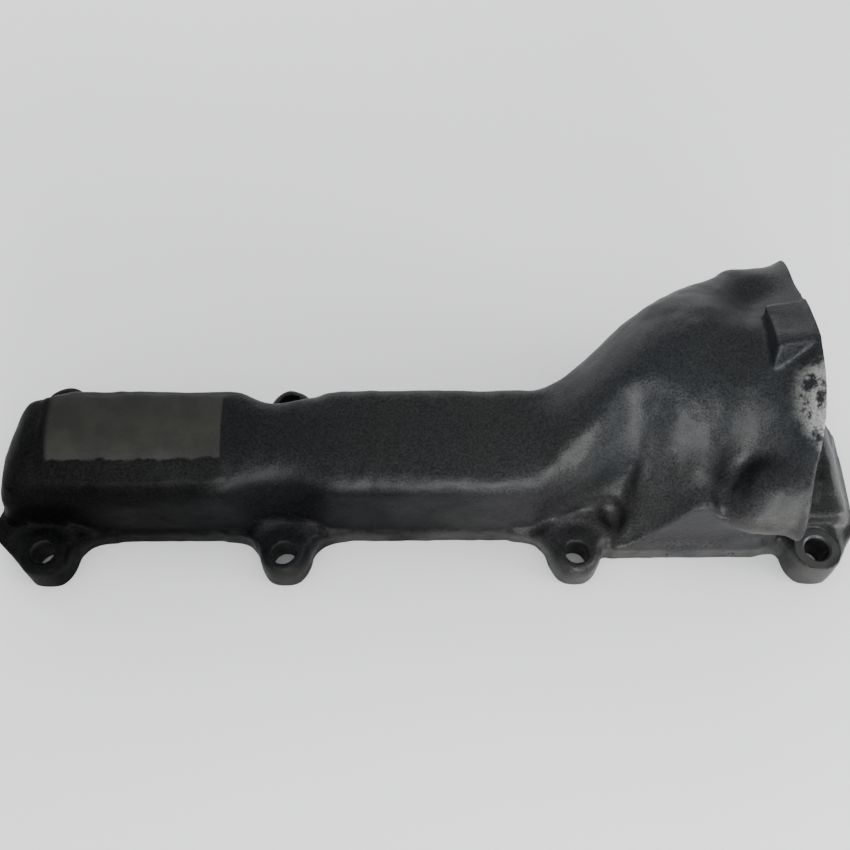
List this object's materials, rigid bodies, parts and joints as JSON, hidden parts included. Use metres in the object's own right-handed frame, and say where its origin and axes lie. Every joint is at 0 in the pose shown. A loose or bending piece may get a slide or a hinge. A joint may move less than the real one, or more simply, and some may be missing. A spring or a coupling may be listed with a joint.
{
  "type": "exhaust manifold",
  "caption": "Cast iron log exhaust manifold for one bank of a V8, with bolt ears along both edges and an elbow that rises to an oval end outlet.",
  "frame": {"origin": "centre of the eight-bolt pattern on the gasket face", "axes": "+X along the log to the outlet, +Y from the front bolt row to the rear bolt row, +Z away from the cylinder head"},
  "size_m": [0.432, 0.1365, 0.1128],
  "materials": {
    "cast_iron": "as-cast sand texture, oiled dark grey",
    "machined_steel": "turned",
    "dark_steel": "blued spring steel"
  },
  "bodies": {
    "root": {"manifold_casting": "cast_iron", "outlet_seat_ring": "machined_steel", "front_stud_insert": "machined_steel", "rear_stud_insert": "machined_steel", "left_spring_pin": "dark_steel", "right_spring_pin": "dark_steel"}
  },
  "joints": []
}
